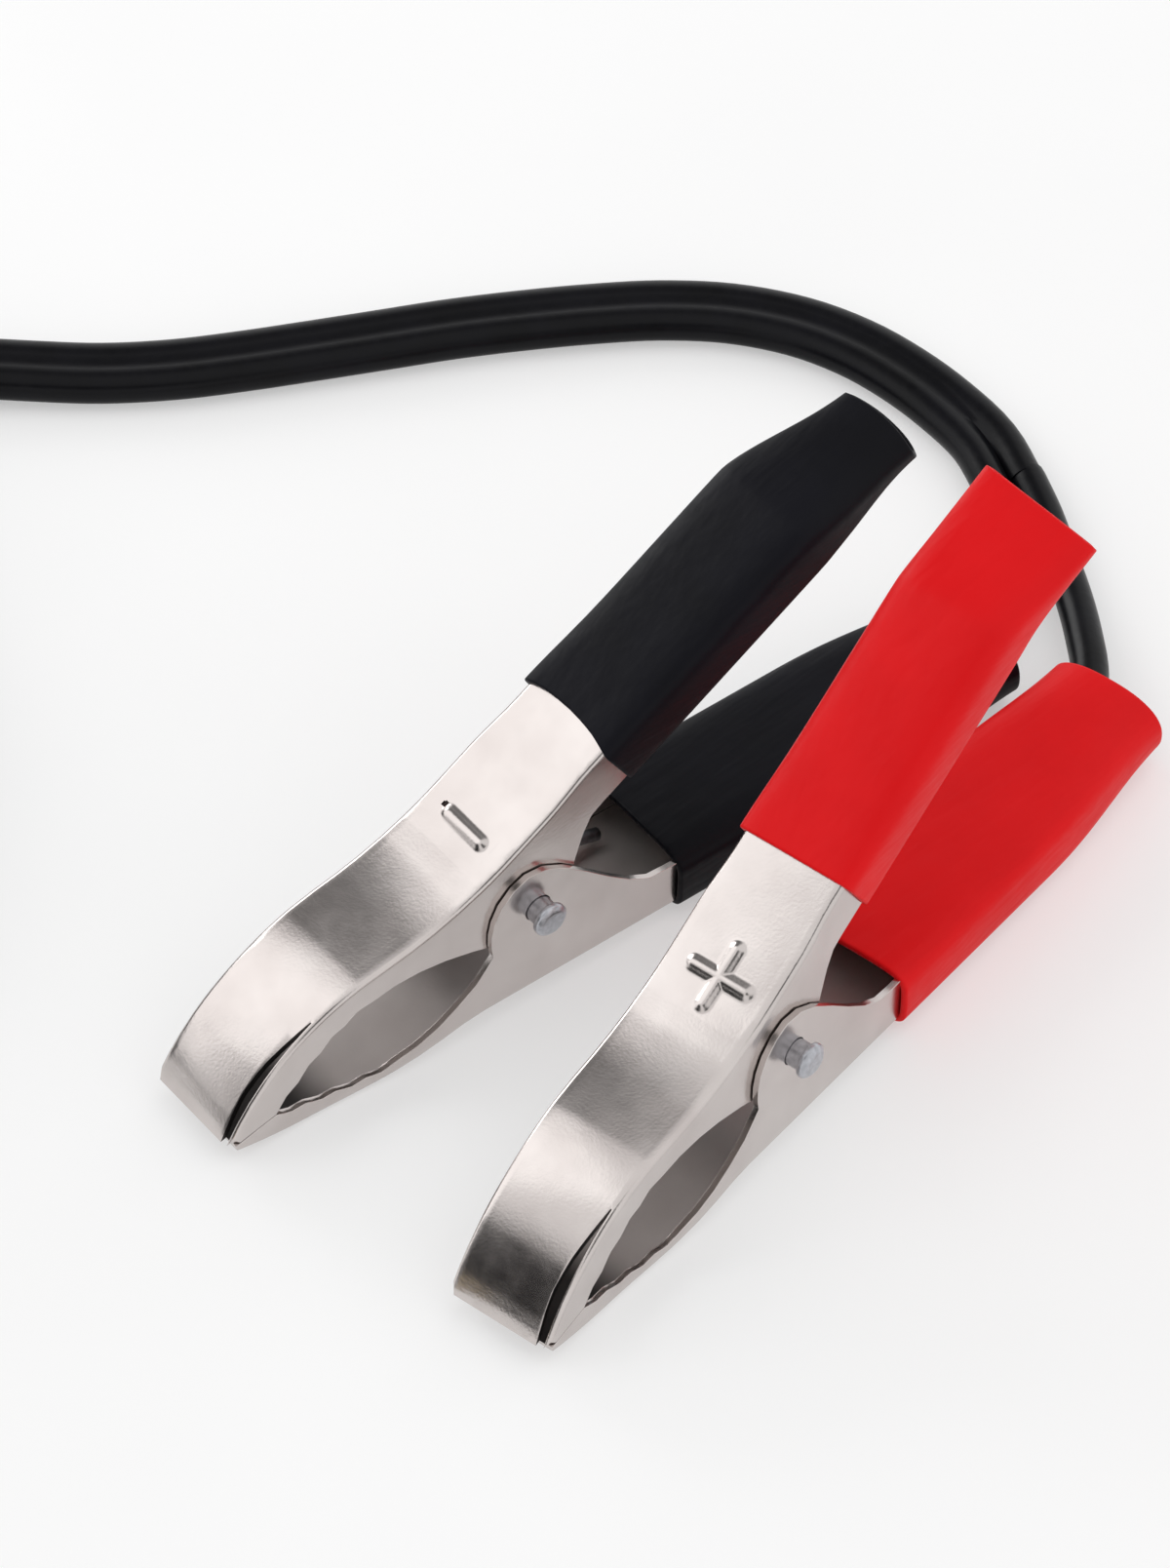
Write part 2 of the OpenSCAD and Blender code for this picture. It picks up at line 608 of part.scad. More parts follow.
// A flat cord whose section turns from one angle to another between two points
module flat_cord(route, from, to, first, last) {
    section = flat_section(twin_w, core_d, 8);
    skin([for (i = [0:len(route) - 1]) flat_ring(route, i, section, mix(from, to, ease((i - first)/(last - first))))],
        fan_first(8), fan_last(8));
}
module positive_leg() {
    color(black)
        round_cord(positive_leg_route);
}
module negative_leg() {
    color(black)
        round_cord(negative_leg_route);
}
module twin_cord() {
    color(black)
        flat_cord(twin_route, flat_on_side, flat_on_edge, 15, 20);
}
module connector_tail() {
    color(black)
        flat_cord(tail_route, flat_on_edge, flat_on_side, 0, 5);
}

// The coil: the cord on its edge spirals in, climbs a layer where the spiral
// reverses, and spirals out again
climb = 80;
coil_from = 134;
coil_to = 270 + 4*360;
coil_sweep = coil_to - coil_from;
coil_rings = 24;
layer_z = twin_w + layer_gap;
coil_z = tie_t + tie_gap + twin_w/2;
function coil_radius(t) = coil_r - coil_pitch*min(t, coil_sweep - t)/360;
function coil_point(t) =
    let (a = coil_from + t, r = coil_radius(t))
    [coil_x + r*cos(a), coil_y + r*sin(a), coil_z + layer_z*ease((t - coil_sweep/2)/climb + 0.5)];
coil_steps = round(coil_sweep*coil_rings/360);
coil_turns = [for (i = [0:coil_steps]) coil_point(coil_sweep*i/coil_steps)];
coil_path = concat(
    [coil_turns[0] + twin_w*[sin(coil_from), -cos(coil_from), 0]],
    coil_turns,
    [coil_turns[coil_steps] + twin_w*[-sin(coil_to), cos(coil_to), 0]]);
// Least gap between points that lie whole turns apart: beside or over each other
coil_gap = min([for (k = [1:4]) each [for (i = [0:coil_steps - k*coil_rings])
    let (p = coil_turns[i], q = coil_turns[i + k*coil_rings])
    max(norm([p[0] - q[0], p[1] - q[1]]) - core_d, abs(p[2] - q[2]) - twin_w)]]);
echo(coil_gap = coil_gap);
function path_length(p) = len(p) < 2 ? 0 : [for (i = [1:len(p) - 1]) norm(p[i] - p[i - 1])]*[for (i = [1:len(p) - 1]) 1];
echo(coil_length = path_length(coil_path), twin_length = path_length(twin_route), tail_length = path_length(tail_route));
echo(positive_leg_length = path_length(positive_leg_route), negative_leg_length = path_length(negative_leg_route));
module cord_coil() {
    section = [[twin_w/2, 0], [twin_w/4, core_d/2], [-twin_w/4, core_d/2],
        [-twin_w/2, 0], [-twin_w/4, -core_d/2], [twin_w/4, -core_d/2]];
    color(black)
        skin([for (i = [0:len(coil_path) - 1]) flat_ring(coil_path, i, section, flat_on_edge)],
            fan_first(6), fan_last(6));
}

// The tie goes round both layers at the side away from the clips
tie_angle = 215;
tie_in = coil_r - coil_pitch*coil_sweep/720 - core_d/2 - 1.2;
tie_out = coil_r + core_d/2 + tie_gap;
tie_top = coil_z + layer_z + twin_w/2 + tie_gap;
module tie_outline(grow) {
    translate([tie_in - grow, tie_t - grow])
        offset(r = 1.2 + grow, $fn = 24)
            offset(delta = -1.2 - grow)
                square([tie_out - tie_in + 2*grow, tie_top - tie_t + 2*grow]);
}
module coil_tie() {
    color("#2c2c30")
        translate([coil_x, coil_y, 0])
            rotate([90, 0, tie_angle])
                linear_extrude(tie_w, center = true)
                    difference() {
                        tie_outline(tie_t);
                        tie_outline(0);
                    }
}

// The connector lies flat beside the coil, its poles towards +X
relief_x = tail_route[6][0];
body_x = relief_x + relief_l;
face_x = body_x + body_l;
connector_y = tail_route[6][1];
shroud_r = contact_r + contact_gap + socket_wall + shroud_wall;
body_w = pole_pitch + 2*shroud_r;
foot_l = 2;
module pole(side) {
    translate([face_x, connector_y + side*pole_pitch/2, body_h/2])
        rotate([0, 90, 0])
            children();
}
module rounded_block(w, h, r, l) {
    rotate([90, 0, 90])
        linear_extrude(l)
            offset(r = r, $fn = 24)
                square([w - 2*r, h - 2*r], center = true);
}
module connector_body() {
    color("#26262b")
        difference() {
            union() {
                translate([body_x, connector_y, body_h/2])
                    rounded_block(body_w, body_h, 2.2, body_l);
                pole(-1)
                    cylinder(h = contact_l, r = shroud_r);
                pole(1)
                    cylinder(h = foot_l, r = shroud_r);
            }
            pole(-1)
                translate([0, 0, -foot_l])
                    cylinder(h = contact_l + 2*foot_l, r = shroud_r - shroud_wall);
            pole(1)
                translate([0, 0, -8])
                    cylinder(h = 8 + foot_l + 1, r = contact_r - 0.5);
        }
}
module connector_pin() {
    nose = 0.8;
    color("#d9b65a")
        pole(1)
            rotate_extrude()
                polygon([
                    [0, -7.9], [contact_r - 0.52, -7.9], [contact_r - 0.52, foot_l + 0.05],
                    [contact_r, foot_l + 0.05], [contact_r, foot_l + contact_l - nose],
                    [contact_r - nose, foot_l + contact_l], [0, foot_l + contact_l]]);
}
module connector_socket() {
    color("#d9b65a")
        pole(-1)
            translate([0, 0, -foot_l + 0.05])
                difference() {
                    cylinder(h = contact_l + foot_l - 0.6, r = shroud_r - shroud_wall - 0.02);
                    translate([0, 0, foot_l])
                        cylinder(h = contact_l + foot_l, r = contact_r + contact_gap);
                }
}
module strain_relief() {
    groove = relief_l/(2*relief_grooves + 2);
    color("#26262b")
        translate([relief_x, connector_y, body_h/2])
            rounded_block(twin_w + 1.6, core_d + 1.8, 1.8, relief_l - 0.05);
    color("#26262b")
        translate([relief_x, connector_y, body_h/2])
            for (i = [0:relief_grooves])
                translate([groove*(2*i + 0.5), 0, 0])
                    rounded_block(mix(twin_w + 2.6, body_w - 2, i/relief_grooves),
                        mix(core_d + 2.6, body_h - 1, i/relief_grooves), 2, groove);
}

for (p = POLES) {
    upper_jaw(p);
    lower_jaw(p);
    rivet(p);
    spring(p);
    upper_sleeve(p);
    lower_sleeve(p);
    wire_end(p);
    ferrule(p);
}
positive_leg();
negative_leg();
twin_cord();
cord_coil();
coil_tie();
connector_tail();
strain_relief();
connector_body();
connector_pin();
connector_socket();
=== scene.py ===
from math import asin, atan2, copysign, cos, exp, hypot, pi, radians, sin, sqrt

import bpy
import bmesh
from mathutils import Matrix, Vector


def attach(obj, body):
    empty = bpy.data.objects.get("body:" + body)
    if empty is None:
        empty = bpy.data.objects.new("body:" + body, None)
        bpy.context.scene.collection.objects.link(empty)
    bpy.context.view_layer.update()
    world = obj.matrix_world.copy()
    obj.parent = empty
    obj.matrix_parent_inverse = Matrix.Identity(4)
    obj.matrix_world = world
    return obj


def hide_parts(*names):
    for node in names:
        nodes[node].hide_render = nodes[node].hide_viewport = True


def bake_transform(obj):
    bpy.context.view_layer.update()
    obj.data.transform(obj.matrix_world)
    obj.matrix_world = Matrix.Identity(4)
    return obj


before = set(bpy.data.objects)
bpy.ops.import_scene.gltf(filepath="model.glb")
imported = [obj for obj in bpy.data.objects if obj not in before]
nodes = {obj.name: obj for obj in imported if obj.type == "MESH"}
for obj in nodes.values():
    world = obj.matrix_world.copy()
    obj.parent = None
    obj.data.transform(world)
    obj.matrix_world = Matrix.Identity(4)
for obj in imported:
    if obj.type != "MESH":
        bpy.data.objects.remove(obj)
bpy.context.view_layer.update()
MM = 0.001
POLES = ("positive", "negative")


# ---------------------------------------------------------------- the clip's own sizes, in millimetres
tilt, toe_in = 12.8, 6.95
pivot = {"positive": (12, -9), "negative": (-12, -11.3)}
pivot_y, pivot_z = 29.8, 1.8
nose_z = 2.174
jaw_w, ear_w = 9.5, 11.3
handle_depth, bend_r = 4.6, 0.4
plus_l, minus_l, mark_w, mark_h, mark_hole_r = 6.2, 5.2, 1.3, 0.3, 0.3
mark_y = {"positive": 29.2, "negative": 28.5}
sleeve_gap, sleeve_wall, upper_sleeve_l, lower_sleeve_l = 0.1, 0.6, 33.2, 35.5
sleeve_out = sleeve_gap + sleeve_wall
upper_handle = (29.619, 8.712, 18.5)
lower_handle = (23.155, 5.615, 14)
upper_sleeve_s, lower_sleeve_s = 10.2, 18.4
upper_handle_l, lower_handle_l = 32.3, 38
wire_mid = -2.25
# where the painted shade deep in the nose fades out, in mm along the clip from its nose
nose_shade_from, nose_shade_to = 6, 11
core_d, core_lap = 3.1, 0.2
twin_w = 2 * core_d - core_lap


def mix(a, b, t):
    return a + (b - a) * t


def ease(t):
    return 0 if t <= 0 else 1 if t >= 1 else (1 - cos(pi * t)) / 2


def clip_place(pole):
    """From a clip's side view, nose at the origin and jaws along +Y, to where it stands."""
    side = 1 if pole == "positive" else -1
    a = radians(tilt)
    reach = pivot_y * cos(a) - pivot_z * sin(a)
    x, y = pivot[pole]
    return (Matrix.Scale(MM, 4) @ Matrix.Translation((x, y, 0))
            @ Matrix.Rotation(radians(side * toe_in), 4, "Z")
            @ Matrix.Translation((0, -reach, nose_z))
            @ Matrix.Rotation(a, 4, "X"))


def upper_place(pole):
    """From a handle laid flat, its back in the plane z = 0 and +Y along it, to the upper handle."""
    y, z, slope = upper_handle
    return clip_place(pole) @ Matrix.Translation((0, y, z)) @ Matrix.Rotation(radians(slope), 4, "X")


def lower_place(pole):
    """The same for the lower handle, which lies with its back downwards."""
    y, z, slope = lower_handle
    return (clip_place(pole) @ Matrix.Translation((0, y, -z)) @ Matrix.Rotation(radians(-slope), 4, "X")
            @ Matrix.Rotation(pi, 4, "Y"))


def upper_back(y):
    """Height and slope of an upper jaw's back: the arched crown, the waist behind it, then the handle."""
    nose_h, crown_r, at_nose, at_waist, waist_l, waist_r = 0.8, 20.5, radians(47), radians(-4), 1.2, 31
    start_y = crown_r * (sin(at_nose) - sin(at_waist))
    end_y = start_y + waist_l * cos(at_waist)
    handle_y, handle_z, slope = upper_handle
    slope = radians(slope)
    if y < start_y:
        a = asin(sin(at_nose) - y / crown_r)
        return nose_h + crown_r * (cos(a) - cos(at_nose)), a
    if y > handle_y:
        return handle_z + (y - handle_y) * sin(slope) / cos(slope), slope
    a = asin(sin(at_waist) + max(0, y - end_y) / waist_r)
    return handle_z - waist_r * (cos(a) - cos(slope)) + min(0, y - end_y) * sin(at_waist), a


# ---------------------------------------------------------------- camera
def place_camera():
    azimuth, elevation, distance = radians(45.05), radians(48.5), 0.703
    target = Vector((-0.0209, 0.0076, -0.0023))
    film_h, frame_h, focal_length = 36, 1608, 9000
    towards = Vector((sin(azimuth) * cos(elevation), -cos(azimuth) * cos(elevation), sin(elevation)))
    bpy.ops.object.camera_add(location=target + distance * towards)
    camera = bpy.context.object
    camera.rotation_euler = (-towards).to_track_quat("-Z", "Y").to_euler()
    camera.data.sensor_fit = "VERTICAL"
    camera.data.sensor_height = film_h
    camera.data.lens = film_h * focal_length / frame_h
    camera.data.clip_start, camera.data.clip_end = 0.01, 20
    bpy.context.scene.camera = camera


place_camera()


# ---------------------------------------------------------------- materials
def linear(hex_colour):
    """An sRGB colour such as "c9161c", as the linear one that the shader takes."""
    parts = [int(hex_colour[i:i + 2], 16) / 255 for i in (0, 2, 4)]
    return [c / 12.92 if c <= 0.04045 else ((c + 0.055) / 1.055) ** 2.4 for c in parts] + [1]


def add(tree, kind, links=(), **settings):
    """A node with its settings. A link is (input name, node, output name)."""
    node = tree.nodes.new(kind)
    for key, value in settings.items():
        if hasattr(node, key):
            setattr(node, key, value)
        else:
            node.inputs[key.replace("_", " ")].default_value = value
    for name, other, output in links:
        tree.links.new(other.outputs[output], node.inputs[name])
    return node


def new_material(name, **shader):
    """An empty material with its shader's own sockets set, and its Object coordinates in millimetres."""
    material = bpy.data.materials.new(name)
    material.use_nodes = True
    tree = material.node_tree
    surface = tree.nodes["Principled BSDF"]
    for key, value in shader.items():
        surface.inputs[key.replace("_", " ")].default_value = value
    place = add(tree, "ShaderNodeTexCoord")
    scale = add(tree, "ShaderNodeMapping", [("Vector", place, "Object")], Scale=(1000, 1000, 1000))
    return material, tree, surface, scale


def tone(tree, surface, factor, output, dark, light, low=0.3, high=0.7):
    """Two shades of one colour, mixed by a pattern."""
    ramp = add(tree, "ShaderNodeValToRGB", [("Fac", factor, output)])
    ramp.color_ramp.elements[0].position, ramp.color_ramp.elements[1].position = low, high
    ramp.color_ramp.elements[0].color, ramp.color_ramp.elements[1].color = linear(dark), linear(light)
    tree.links.new(ramp.outputs["Color"], surface.inputs["Base Color"])
    return ramp


def gloss(tree, surface, factor, output, smooth, rough):
    """Roughness that a pattern takes from smooth to rough."""
    span = add(tree, "ShaderNodeMapRange", [("Value", factor, output)], To_Min=smooth, To_Max=rough)
    tree.links.new(span.outputs["Result"], surface.inputs["Roughness"])


def relief(tree, surface, factor, output, depth, below=None):
    """A bump of so many millimetres, over another one where that is given."""
    links = [("Height", factor, output)] + ([("Normal", below, "Normal")] if below else [])
    bump = add(tree, "ShaderNodeBump", links, Distance=depth * MM)
    tree.links.new(bump.outputs["Normal"], surface.inputs["Normal"])
    return bump


# Sheet steel, stamped and then barrel-plated with bright nickel: a warm grey
# metal, its reflections softened by a fine pebble, and dull inside, where the
# barrel's media don't reach; the inside copies also carry painted shade deep in the nose
def nickel_plate(name, smooth, rough, nose=None):
    material, tree, surface, mm = new_material(name, Metallic=1, Roughness=rough)
    cloud = add(tree, "ShaderNodeTexNoise", [("Vector", mm, "Vector")], Scale=0.16, Detail=3)
    shades = tone(tree, surface, cloud, "Fac", "c4bcb9", "d0c9c6")
    if nose:
        # painted shade: the colour darkens deep in the nose, where shade falls, and clears away from it
        along = (nose.to_3x3() @ Vector((0, 1, 0))).normalized()
        start = nose.translation.dot(along) / MM
        reach = add(tree, "ShaderNodeVectorMath", [(0, mm, "Vector")], operation="DOT_PRODUCT")
        reach.inputs[1].default_value = along
        clear = add(tree, "ShaderNodeMapRange", [("Value", reach, "Value")], interpolation_type="SMOOTHSTEP",
                    From_Min=start + nose_shade_from, From_Max=start + nose_shade_to, To_Min=0.1, To_Max=1)
        shade = add(tree, "ShaderNodeVectorMath", [(0, shades, "Color"), ("Scale", clear, "Result")],
                    operation="SCALE")
        tree.links.new(shade.outputs["Vector"], surface.inputs["Base Color"])
    # the plate over the sheet's own skin is finely pebbled, here at 0.25 mm so that it shows
    pebble = add(tree, "ShaderNodeTexNoise", [("Vector", mm, "Vector")], Scale=4, Detail=3)
    haze = add(tree, "ShaderNodeTexNoise", [("Vector", mm, "Vector")], Scale=0.5, Detail=3)
    gloss(tree, surface, haze, "Fac", smooth, rough)
    ripple = add(tree, "ShaderNodeTexNoise", [("Vector", mm, "Vector")], Scale=0.22, Detail=1)
    wave = relief(tree, surface, ripple, "Fac", 0.03)
    relief(tree, surface, pebble, "Fac", 0.008, wave)
    return material


# Drawn and plated stock of the rivets, springs and ferrules: greyer and duller
def zinc_wire(name, dark, light, rough):
    material, tree, surface, mm = new_material(name, Metallic=1, Roughness=rough)
    speck = add(tree, "ShaderNodeTexNoise", [("Vector", mm, "Vector")], Scale=2.2, Detail=5)
    tone(tree, surface, speck, "Fac", dark, light)
    gloss(tree, surface, speck, "Fac", rough - 0.08, rough + 0.14)
    relief(tree, surface, speck, "Fac", 0.01)
    return material


# Dip-moulded soft PVC: one even colour under a low sheen, a slight orange
# peel about 1.2 mm across, and longer lines where it was pulled on
def soft_pvc(name, dark, light, rough):
    material, tree, surface, mm = new_material(name, Roughness=rough, Specular_IOR_Level=0.12)
    cloud = add(tree, "ShaderNodeTexNoise", [("Vector", mm, "Vector")], Scale=0.12, Detail=2)
    tone(tree, surface, cloud, "Fac", dark, light)
    peel = add(tree, "ShaderNodeTexNoise", [("Vector", mm, "Vector")], Scale=0.8, Detail=3)
    gloss(tree, surface, peel, "Fac", rough - 0.06, rough + 0.1)
    long_way = add(tree, "ShaderNodeMapping", [("Vector", mm, "Vector")], Scale=(0.7, 0.12, 0.7))
    pull = add(tree, "ShaderNodeTexNoise", [("Vector", long_way, "Vector")], Scale=1, Detail=2)
    soft = relief(tree, surface, pull, "Fac", 0.12)
    relief(tree, surface, peel, "Fac", 0.02, soft)
    return material


# Extruded PVC cord jacket: deep black and glossy, with faint die lines
def cord_jacket():
    material, tree, surface, mm = new_material("extruded_pvc_jacket", Roughness=0.3, Specular_IOR_Level=0.15)
    cloud = add(tree, "ShaderNodeTexNoise", [("Vector", mm, "Vector")], Scale=0.25, Detail=2)
    tone(tree, surface, cloud, "Fac", "060609", "0c0c11")
    haze = add(tree, "ShaderNodeTexNoise", [("Vector", mm, "Vector")], Scale=1.3, Detail=3)
    gloss(tree, surface, haze, "Fac", 0.24, 0.4)
    relief(tree, surface, haze, "Fac", 0.015)
    return material


# Injection-moulded PVC of the connector: matt, spark-eroded grain of 0.3 mm
def moulded_pvc():
    material, tree, surface, mm = new_material("moulded_pvc", Roughness=0.5, Specular_IOR_Level=0.25)
    grit = add(tree, "ShaderNodeTexNoise", [("Vector", mm, "Vector")], Scale=3.3, Detail=4)
    tone(tree, surface, grit, "Fac", "1b1b1f", "29292e")
    gloss(tree, surface, grit, "Fac", 0.42, 0.6)
    relief(tree, surface, grit, "Fac", 0.03)
    return material


# Bare stranded copper that has browned in the air, each strand still catching the light
def bare_copper():
    material, tree, surface, mm = new_material("bare_copper", Metallic=1, Roughness=0.32)
    stain = add(tree, "ShaderNodeTexNoise", [("Vector", mm, "Vector")], Scale=1.1, Detail=4)
    tone(tree, surface, stain, "Fac", "6b4433", "a06f52")
    gloss(tree, surface, stain, "Fac", 0.25, 0.45)
    return material


# Turned brass, bright, with fine tool rings 0.3 mm apart
def turned_brass():
    material, tree, surface, mm = new_material("turned_brass", Metallic=1, Roughness=0.24)
    stain = add(tree, "ShaderNodeTexNoise", [("Vector", mm, "Vector")], Scale=0.6, Detail=3)
    tone(tree, surface, stain, "Fac", "c4a056", "dcc07a")
    rings = add(tree, "ShaderNodeTexWave", [("Vector", mm, "Vector")], bands_direction="X",
                Scale=1, Distortion=0.3)
    gloss(tree, surface, rings, "Fac", 0.18, 0.32)
    relief(tree, surface, rings, "Fac", 0.008)
    return material


# Woven hook-and-loop tape: matt black with a weave of 0.8 mm
def woven_tape():
    material, tree, surface, mm = new_material("woven_tape", Roughness=0.85)
    weave = add(tree, "ShaderNodeTexVoronoi", [("Vector", mm, "Vector")], Scale=1.25)
    tone(tree, surface, weave, "Distance", "2e2e34", "17171b", 0.1, 0.8)
    relief(tree, surface, weave, "Distance", -0.15)
    return material


nickel = nickel_plate("nickel_plated_steel", 0.14, 0.28)
# the inside finish: duller, and with painted shade deep in the nose
dull_nickel_with_painted_shade = {pole: nickel_plate(f"nickel_inside_with_painted_shade_{pole}", 0.5, 0.62, clip_place(pole))
               for pole in POLES}
rivet_steel = zinc_wire("plated_rivet_steel", "a3a4a9", "c2c3c9", 0.3)
spring_steel = zinc_wire("drawn_spring_steel", "85878c", "a9abb1", 0.34)
tinned = zinc_wire("tinned_copper", "bdbab2", "d8d5cd", 0.36)
red_pvc = soft_pvc("soft_pvc_red", "d80e13", "e01217", 0.42)
black_pvc = soft_pvc("soft_pvc_black", "07070d", "0c0c14", 0.46)
jacket = cord_jacket()
moulding = moulded_pvc()
copper = bare_copper()
brass = turned_brass()
tape = woven_tape()


# ---------------------------------------------------------------- modelling helpers
def nothing_selected():
    if bpy.context.mode != "OBJECT":
        bpy.ops.object.mode_set(mode="OBJECT")
    bpy.ops.object.select_all(action="DESELECT")


def take(obj):
    """Makes one object the only selected and active one."""
    nothing_selected()
    obj.select_set(True)
    bpy.context.view_layer.objects.active = obj
    return obj


def edit(kind="VERT"):
    bpy.ops.object.mode_set(mode="EDIT")
    bpy.ops.mesh.select_mode(type=kind)


def done():
    bpy.ops.object.mode_set(mode="OBJECT")


def apply_all(obj):
    take(obj)
    for modifier in list(obj.modifiers):
        bpy.ops.object.modifier_apply(modifier=modifier.name)


def finish_piece(obj, name, material, place=None, body=None, node=None, smooth=40):
    """Names a piece, puts it in its place in the row's frame, and says what carries and what it replaces."""
    take(obj)
    if place is not None:
        obj.data.transform(place)
    obj.data.update()
    obj.name = obj.data.name = name
    obj.data.materials.clear()
    obj.data.materials.append(material)
    bpy.ops.object.shade_smooth_by_angle(angle=radians(smooth))
    if body:
        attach(obj, body)
    if node:
        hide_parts(*([node] if isinstance(node, str) else node))
    return obj


def cad_copy(node, name):
    """A merged copy of a CAD node, with its triangles joined to flat faces."""
    copy = nodes[node].copy()
    copy.data = nodes[node].data.copy()
    copy.parent = None
    for key in list(copy.keys()):
        del copy[key]
    bpy.context.scene.collection.objects.link(copy)
    copy.name = name
    take(copy)
    edit()
    bpy.ops.mesh.select_all(action="SELECT")
    bpy.ops.mesh.remove_doubles(threshold=0.000002)
    bpy.ops.mesh.dissolve_limited(angle_limit=radians(0.15))
    done()
    return copy


def slices(place, points, across):
    """Cuts a mesh in edit mode by planes square to one direction of a frame, through its points."""
    square_to = (place.to_3x3() @ Vector(across)).normalized()
    for p in points:
        bpy.ops.mesh.select_all(action="SELECT")
        bpy.ops.mesh.bisect(plane_co=place @ Vector(p), plane_no=square_to, threshold=1e-6)


def delete_faces(obj, inside):
    """Deletes the faces of an object whose centres pass the test."""
    take(obj)
    edit("FACE")
    bpy.ops.mesh.select_all(action="DESELECT")
    done()
    for face in obj.data.polygons:
        face.select = inside(face.center)
    bpy.ops.object.mode_set(mode="EDIT")
    bpy.ops.mesh.delete(type="FACE")
    done()


def wide_faces_first(obj):
    """Lets the wide faces set the shading, so that only the bends between them are shaded round."""
    take(obj)
    normals = obj.modifiers.new("shading", "WEIGHTED_NORMAL")
    normals.mode, normals.keep_sharp = "FACE_AREA", True
    apply_all(obj)


def soften_edges(obj, width, angle, segments=2):
    take(obj)
    bevel = obj.modifiers.new("edge", "BEVEL")
    bevel.width, bevel.segments, bevel.limit_method = width * MM, segments, "ANGLE"
    bevel.angle_limit = radians(angle)
    bevel.use_clamp_overlap = True
    bevel.harden_normals = False
    apply_all(obj)


# ---------------------------------------------------------------- stamped jaws
crown_h, flat_half = 0.14, jaw_w / 2 - bend_r


def crown(x):
    """Rolled sheet doesn't stay flat between its bends: the back is a little fuller in the middle."""
    return crown_h * max(0, 1 - (x / flat_half) ** 2)


def sign_size(pole):
    """Width and length of the patch that the sign is pressed in."""
    plus = pole == "positive"
    rim = 1.2
    return (plus_l if plus else minus_l) + rim, (plus_l if plus else mark_w) + rim


def on_back(pole, x, along, height):
    """A point over an upper jaw's back, so far along it from the middle of the sign."""
    middle = mark_y[pole]
    y = middle + along * cos(upper_back(middle)[1])
    z, a = upper_back(y)
    return Vector((x, y - height * sin(a), z + height * cos(a)))


def crowned_back(jaw, pole):
    """Raises the middle of an upper jaw's back, and opens it where the sign's patch goes."""
    place = clip_place(pole)
    w, l = sign_size(pole)
    lap, first_cut, cut_step, cuts = 0.1, 23, 1.2, 16
    near, far = (on_back(pole, 0, side * (l / 2 - lap), 0).y for side in (-1, 1))
    cut_x = [side * x for side in (-1, 1) for x in (0, 0.8, 1.6, 2.4, 3.2, w / 2 - lap, 4)]
    cut_y = [first_cut + cut_step * k for k in range(cuts)] + [near, far]
    take(jaw)
    edit()
    slices(place, [(x, 0, 0) for x in cut_x], (1, 0, 0))
    slices(place, [(0, y, 0) for y in cut_y], (0, 1, 0))
    done()
    to_clip = place.inverted()

    def under_sign(p):
        p = to_clip @ p
        return abs(p.x) < w / 2 - lap and near < p.y < far and p.z > upper_back(p.y)[0] - 0.3

    delete_faces(jaw, under_sign)
    turn = place.to_3x3().inverted()
    ups = [(turn @ v.normal).normalized().z for v in jaw.data.vertices]
    for v, up in zip(jaw.data.vertices, ups):
        p = to_clip @ v.co
        if abs(p.x) < flat_half and up > 0.3:
            v.co = place @ (p + Vector((0, 0, crown(p.x))))


def curled_lip(jaw, pole):
    """The nose of an upper jaw is rolled over, so that its cut edge lies in front of the lower lip."""
    place = clip_place(pole)
    to_clip = place.inverted()
    lip_l, low_forward, high_forward, fall = 1.7, 0.12, 0.62, 0.72
    take(jaw)
    edit()
    slices(place, [(0, 0.25, 0), (0, 0.85, 0)], (0, 1, 0))
    done()
    for v in jaw.data.vertices:
        p = to_clip @ v.co
        if p.y < lip_l and p.z > -0.1:
            reach, high = ((lip_l - p.y) / lip_l) ** 2, max(0, min(1, (p.z - 0.1) / 0.7))
            v.co = place @ (p - reach * Vector((0, mix(low_forward, high_forward, high), fall * high)))


def pressed_sign(pole):
    """A fine patch over the jaw's back, pressed up along the sign's bars with a soft foot round them."""
    plus = pole == "positive"
    bar = plus_l if plus else minus_l
    cell, flat_top, slope_w, lift = 0.13, 0.1, 0.75, 0.004
    w, l = sign_size(pole)
    nothing_selected()
    bpy.ops.mesh.primitive_grid_add(x_subdivisions=round(w / cell), y_subdivisions=round(l / cell), size=1)
    patch = bpy.context.object
    edit()
    bpy.ops.mesh.select_all(action="SELECT")
    bpy.ops.transform.resize(value=(w, l, 1))
    done()
    half = bar / 2 - mark_w / 2
    for v in patch.data.vertices:
        x, y = v.co.x, v.co.y
        near = hypot(max(abs(x) - half, 0), y)
        if plus:
            near = min(near, hypot(x, max(abs(y) - half, 0)))
        t = min(max((near - flat_top) / slope_w, 0), 1)
        v.co.z = lift + crown(x) + mark_h * (1 + cos(pi * t)) / 2
    if not plus:
        hole = Vector((-minus_l / 2 - 0.2, 0.3, 0))
        delete_faces(patch, lambda p: hypot(p.x - hole.x, p.y - hole.y) < mark_hole_r)
    for v in patch.data.vertices:
        v.co = on_back(pole, *v.co)
    patch.data.transform(clip_place(pole))
    return patch


def paint_faces(jaw, pole, material, test):
    """Gives the faces that pass a test of normal and centre, both in the clip's frame, their own finish."""
    take(jaw)
    bpy.ops.object.material_slot_add()
    jaw.material_slots[-1].material = material
    turn, to_clip = clip_place(pole).to_3x3().inverted(), clip_place(pole).inverted()
    edit("FACE")
    bpy.ops.mesh.select_all(action="DESELECT")
    done()
    for face in jaw.data.polygons:
        face.select = test((turn @ face.normal).normalized(), to_clip @ face.center)
    edit("FACE")
    jaw.active_material_index = len(jaw.material_slots) - 1
    bpy.ops.object.material_slot_assign()
    done()


